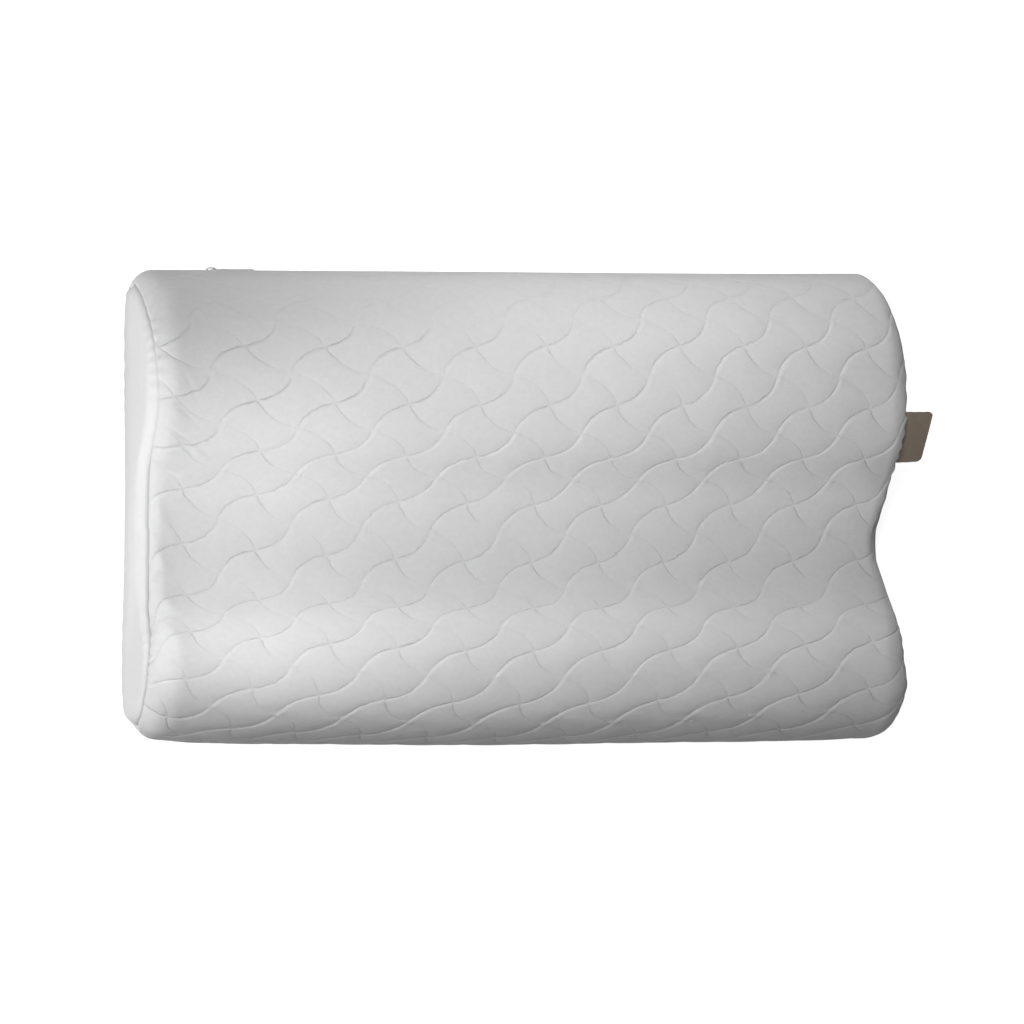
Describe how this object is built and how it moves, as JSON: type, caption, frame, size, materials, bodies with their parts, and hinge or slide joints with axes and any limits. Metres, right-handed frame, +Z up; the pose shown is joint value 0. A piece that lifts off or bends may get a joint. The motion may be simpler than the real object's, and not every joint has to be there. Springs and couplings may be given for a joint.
{
  "type": "contour bed pillow",
  "caption": "Two-lobe contour bed pillow with a neck hollow, quilted zip-off cover, plain end panels, side label, foam core in a liner and a zipper with a swinging pull tab.",
  "frame": {"origin": "centre of the flat underside, on the surface the pillow lies on", "axes": "+X along the length toward the end with the side label, +Y toward the high lobe and the zipper, +Z up"},
  "size_m": [0.518, 0.3035, 0.1],
  "materials": {
    "foam": "open-cell foam, matte",
    "liner": "thin knit, matte",
    "backing": "non-woven, matte",
    "wadding": "fibre fill, matte",
    "cover_quilt": "quilted knit, matte",
    "cover_plain": "plain knit, matte",
    "seam": "turned-in edge, matte",
    "zip_tape": "woven tape, matte",
    "zip_coil": "nylon coil",
    "zip_stop": "satin",
    "thread": "sewing thread",
    "inner_label": "satin tape, blank",
    "zip_metal": "satin",
    "brown_label": "woven tape, blank"
  },
  "bodies": {
    "pillow": {"foam_core": "foam", "liner_sleeve": "liner", "liner_end_left": "liner", "liner_end_right": "liner", "quilt_backing": "backing", "quilt_wadding": "wadding", "quilt_face": "cover_quilt", "base_panel": "cover_plain", "end_panel_left": "cover_plain", "end_panel_right": "cover_plain", "seam_left": "seam", "seam_right": "seam", "seam_front": "seam", "zip_tape_upper": "zip_tape", "zip_tape_lower": "zip_tape", "zip_coil_upper": "zip_coil", "zip_coil_lower": "zip_coil", "zip_stop_closed": "zip_stop", "zip_stop_open": "zip_stop", "zip_stitching": "thread", "care_label": "inner_label"},
    "slider": {"zip_slider": "zip_metal"},
    "pull_tab": {"zip_pull": "zip_metal"},
    "label": {"side_label": "brown_label"}
  },
  "joints": [
    {"name": "zip_slide", "type": "slide", "parent": "pillow", "child": "slider", "axis": [1, 0, 0], "range_m": [0, 0.3792]},
    {"name": "pull_swing", "type": "hinge", "parent": "slider", "child": "pull_tab", "pos_m": [-0.1896, 0.1517, 0.022], "axis": [0, 0, 1], "range_deg": [0, 180]},
    {"name": "label_bend", "type": "hinge", "parent": "pillow", "child": "label", "pos_m": [0.2508, 0.04216, 0.07538], "axis": [0, 0.7365, 0.6765], "range_deg": [-80, 80], "stiffness_Nm_per_rad": 0.001}
  ]
}
